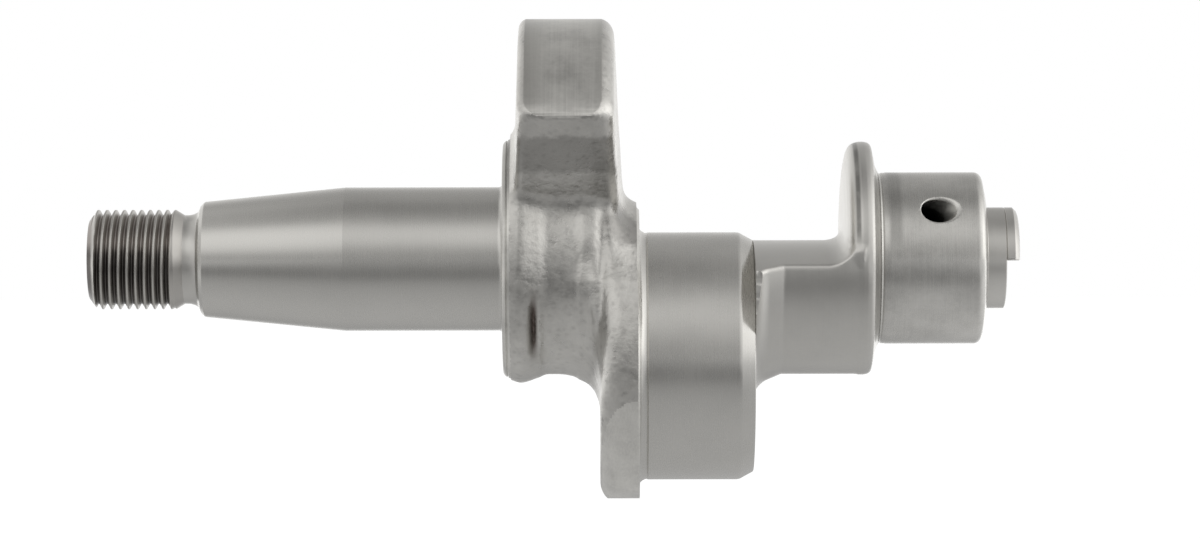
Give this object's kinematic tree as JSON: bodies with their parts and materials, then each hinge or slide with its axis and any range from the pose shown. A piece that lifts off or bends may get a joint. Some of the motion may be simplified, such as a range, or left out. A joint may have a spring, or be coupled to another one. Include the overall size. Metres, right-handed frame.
{
  "type": "crankshaft",
  "caption": "Forged crankshaft: tapered, threaded nose, thrust collar, fan counterweight, oversized crankpin, rear web and flange, rear journal and half dog.",
  "frame": {"origin": "on the main axis, halfway between the threaded nose's end face and the drive dog's end face, which is also the centre of the bounding box", "axes": "+X along the main axis toward the drive dog; +Z from the main axis toward the middle of the counterweight, so the crankpin hangs on the -Z side; +Y completes a right-handed frame"},
  "size_m": [0.169, 0.0724, 0.0874],
  "materials": {
    "ground_steel": "ground, satin bright",
    "turned_steel": "turned, fine tool marks",
    "forged_steel": "forged and shot-blasted, mottled"
  },
  "bodies": {
    "root": {"threaded_end": "turned_steel", "thread_relief": "turned_steel", "taper_seat": "ground_steel", "front_main_journal": "ground_steel", "thrust_collar": "turned_steel", "front_web_hub": "forged_steel", "crank_cheek": "forged_steel", "counterweight": "forged_steel", "crankpin": "ground_steel", "rear_web": "turned_steel", "rear_flange": "turned_steel", "rear_main_journal": "ground_steel", "drive_boss": "turned_steel", "drive_dog": "turned_steel"}
  },
  "joints": []
}
